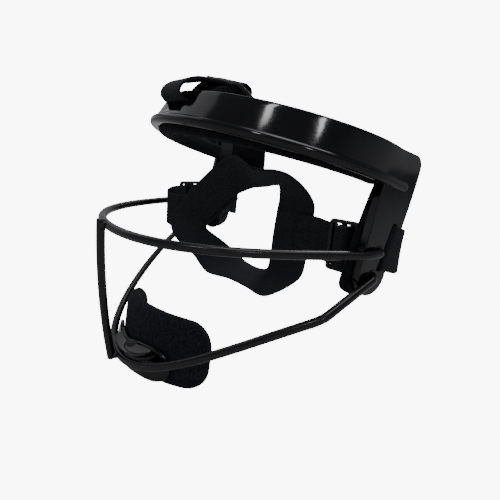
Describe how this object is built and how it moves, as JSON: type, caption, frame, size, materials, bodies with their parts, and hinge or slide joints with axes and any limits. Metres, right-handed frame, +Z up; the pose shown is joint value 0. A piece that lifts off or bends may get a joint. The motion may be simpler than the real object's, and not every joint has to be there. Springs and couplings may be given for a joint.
{
  "type": "softball fielder mask",
  "caption": "Open face guard for softball fielding: moulded brow frame with side legs, welded wire cage, chin cup, foam pads and an adjustable webbing harness with a ponytail ring.",
  "frame": {"origin": "middle of the brow pad's inner face at the bead's lower height, where it meets the forehead", "axes": "+Z up as worn, -Y the way the wearer looks, +X the wearer's left"},
  "size_m": [0.185, 0.1479, 0.1865],
  "materials": {
    "gloss plastic": "glossy black moulding",
    "coated steel": "black dipped vinyl coating on steel rod",
    "foam": "black fabric-faced foam",
    "felt": "dark grey brushed felt on foam",
    "webbing": "black woven elastic",
    "slider plastic": "satin black"
  },
  "bodies": {
    "root": {"frame": "gloss plastic", "wire_cage": "coated steel", "brow_pad": "foam", "leg_pad_left": "foam", "leg_pad_right": "foam", "chin_cup": "gloss plastic", "chin_pad": "felt", "ring_strap": "webbing", "slider_left": "slider plastic", "slider_right": "slider plastic", "slider_top": "slider plastic", "strap_left": "webbing", "strap_right": "webbing", "strap_top": "webbing"}
  },
  "joints": []
}
